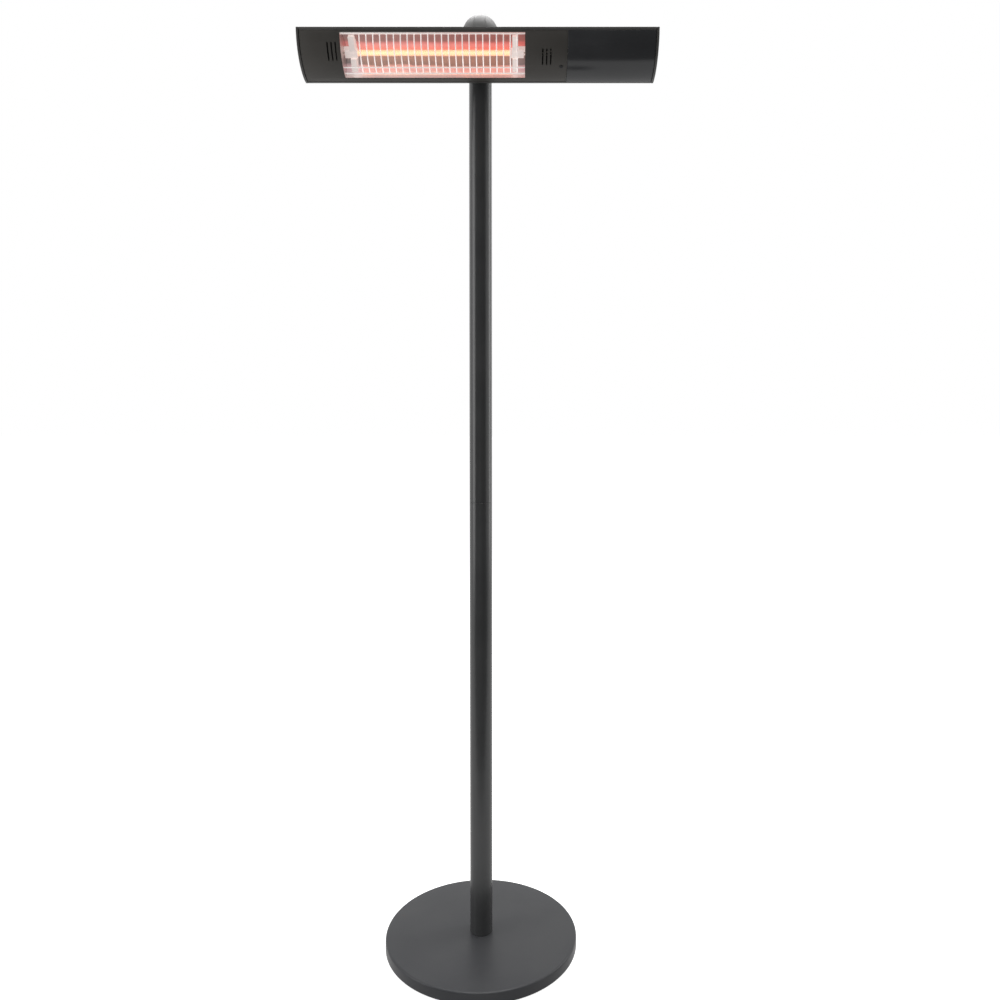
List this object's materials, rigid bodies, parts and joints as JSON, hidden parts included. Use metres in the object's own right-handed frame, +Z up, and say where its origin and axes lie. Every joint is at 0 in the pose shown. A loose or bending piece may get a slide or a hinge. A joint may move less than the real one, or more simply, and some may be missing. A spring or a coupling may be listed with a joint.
{
  "type": "infrared patio heater",
  "caption": "Free-standing infrared patio heater: round weighted base, tubular pole, ball tilt joint and a long tilting head with one lamp behind a wire guard.",
  "frame": {"origin": "on the floor, on the pole's axis, under the middle of the base", "axes": "+Z up along the pole, the lamp faces -Y, +X along the head towards its control section"},
  "size_m": [0.7659, 0.434, 2.097],
  "materials": {
    "base_coat": "matte charcoal powder coat",
    "pole_coat": "satin charcoal powder coat",
    "cast_iron": "rough casting",
    "foot_rubber": "matte",
    "zinc_steel": "zinc plated",
    "ball_coat": "satin mid-grey",
    "body_coat": "satin dark grey powder coat",
    "fascia_coat": "satin dark grey",
    "cover_gloss": "gloss black",
    "reflector_metal": "polished",
    "ceramic": "unglazed",
    "quartz": "gold-tinted quartz",
    "filament": "glowing carbon",
    "guard_wire": "bright stainless wire",
    "dark_plastic": "fine grain",
    "fibre": "pressed friction fibre",
    "circuit_board": "green lacquer",
    "lead_sleeve": "woven glass sleeving"
  },
  "bodies": {
    "stand": {"base_cover": "base_coat", "base_weight": "cast_iron", "base_foot_1": "foot_rubber", "base_foot_2": "foot_rubber", "base_foot_3": "foot_rubber", "base_foot_4": "foot_rubber", "pole_bolt": "zinc_steel", "pole_bolt_washer": "zinc_steel", "pole_end_plug": "zinc_steel", "pole_lower_tube": "pole_coat", "pole_upper_tube": "pole_coat", "pole_joiner": "zinc_steel", "joiner_screw_1": "zinc_steel", "joiner_screw_2": "zinc_steel", "tilt_hub": "ball_coat", "hub_screw": "zinc_steel"},
    "head": {"tilt_fork": "ball_coat", "tilt_bolt": "zinc_steel", "tilt_nut": "zinc_steel", "friction_washer_left": "fibre", "friction_washer_right": "fibre", "bracket_plate": "zinc_steel", "bracket_screw_1": "zinc_steel", "bracket_screw_2": "zinc_steel", "head_housing": "body_coat", "front_fascia": "fascia_coat", "control_cover": "cover_gloss", "guard_grille": "guard_wire", "reflector": "reflector_metal", "lamp_tube": "quartz", "lamp_filament": "filament", "end_cap_left": "body_coat", "end_cap_right": "body_coat", "end_gasket_left": "foot_rubber", "end_gasket_right": "foot_rubber", "cap_screw_left_upper": "zinc_steel", "cap_screw_left_lower": "zinc_steel", "cap_screw_right_upper": "zinc_steel", "cap_screw_right_lower": "zinc_steel", "reflector_end_left": "reflector_metal", "reflector_end_right": "reflector_metal", "lamp_holder_left": "ceramic", "lamp_holder_right": "ceramic", "lamp_socket_left": "ceramic", "lamp_socket_right": "ceramic", "lamp_lead_left": "lead_sleeve", "lamp_lead_right": "lead_sleeve", "bulkhead": "zinc_steel", "receiver_lens": "dark_plastic", "board_tray": "dark_plastic", "control_board": "circuit_board", "relay_module": "dark_plastic", "terminal_block": "dark_plastic", "tip_over_switch": "dark_plastic", "cable_gland": "dark_plastic", "gland_nut": "dark_plastic", "power_switch_body": "dark_plastic"},
    "switch_paddle": {"power_rocker": "dark_plastic"}
  },
  "joints": [
    {"name": "head_tilt", "type": "hinge", "parent": "stand", "child": "head", "pos_m": [0, 0, 2.057], "axis": [-1, 0, 0], "range_deg": [-4, 46]},
    {"name": "power_rocker_turn", "type": "hinge", "parent": "head", "child": "switch_paddle", "pos_m": [0.3773, -0.07865, 1.9842], "axis": [0, 0.6947, 0.7193], "range_deg": [0, 14]}
  ]
}
